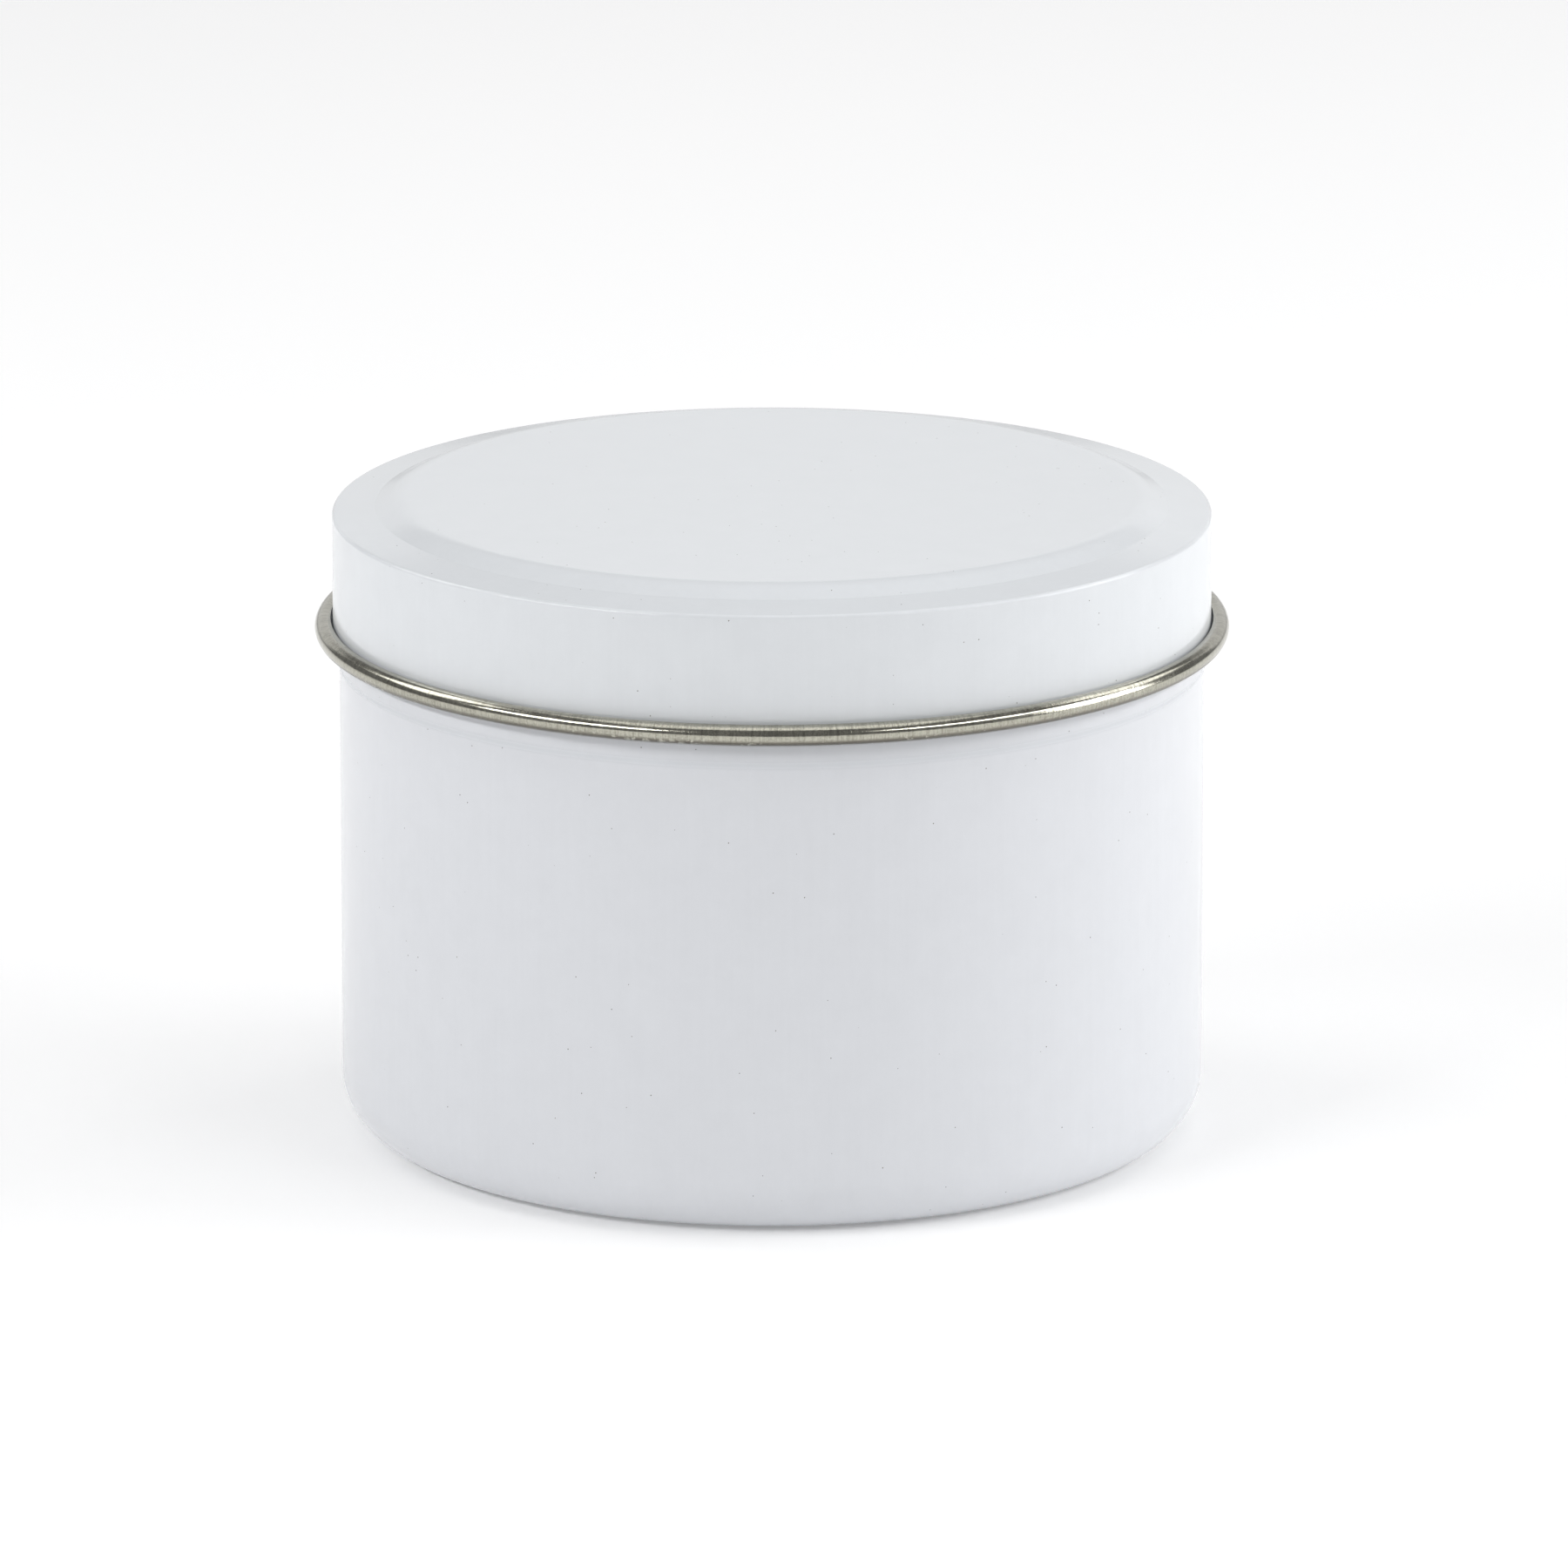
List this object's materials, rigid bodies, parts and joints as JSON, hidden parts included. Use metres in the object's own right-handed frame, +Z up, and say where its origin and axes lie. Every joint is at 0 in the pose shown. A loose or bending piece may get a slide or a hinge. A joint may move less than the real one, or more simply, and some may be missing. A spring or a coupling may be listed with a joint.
{
  "type": "candle tin",
  "caption": "Round shallow seamless tin with a slip-over lid: raised centre panel and rolled bottom edge on the lid, curled rim and recessed base on the body.",
  "frame": {"origin": "centre of the base, on the surface that the tin stands on", "axes": "+Z up along the tin's axis, through the lid; the tin is round, so +X and +Y are any two directions at right angles"},
  "size_m": [0.0814, 0.0814, 0.0577],
  "materials": {
    "white_lacquer": "satin white stoving lacquer over tinplate, outer faces",
    "tinplate": "bright bare tinplate with fine drawing marks, inner faces and the lid's rolled edge"
  },
  "bodies": {
    "tin_body": {"tin_body": "white_lacquer"},
    "lid": {"lid": "white_lacquer"}
  },
  "joints": [
    {"name": "lid_lift", "type": "slide", "parent": "tin_body", "child": "lid", "axis": [0, 0, 1], "range_m": [0, 0.045]}
  ]
}
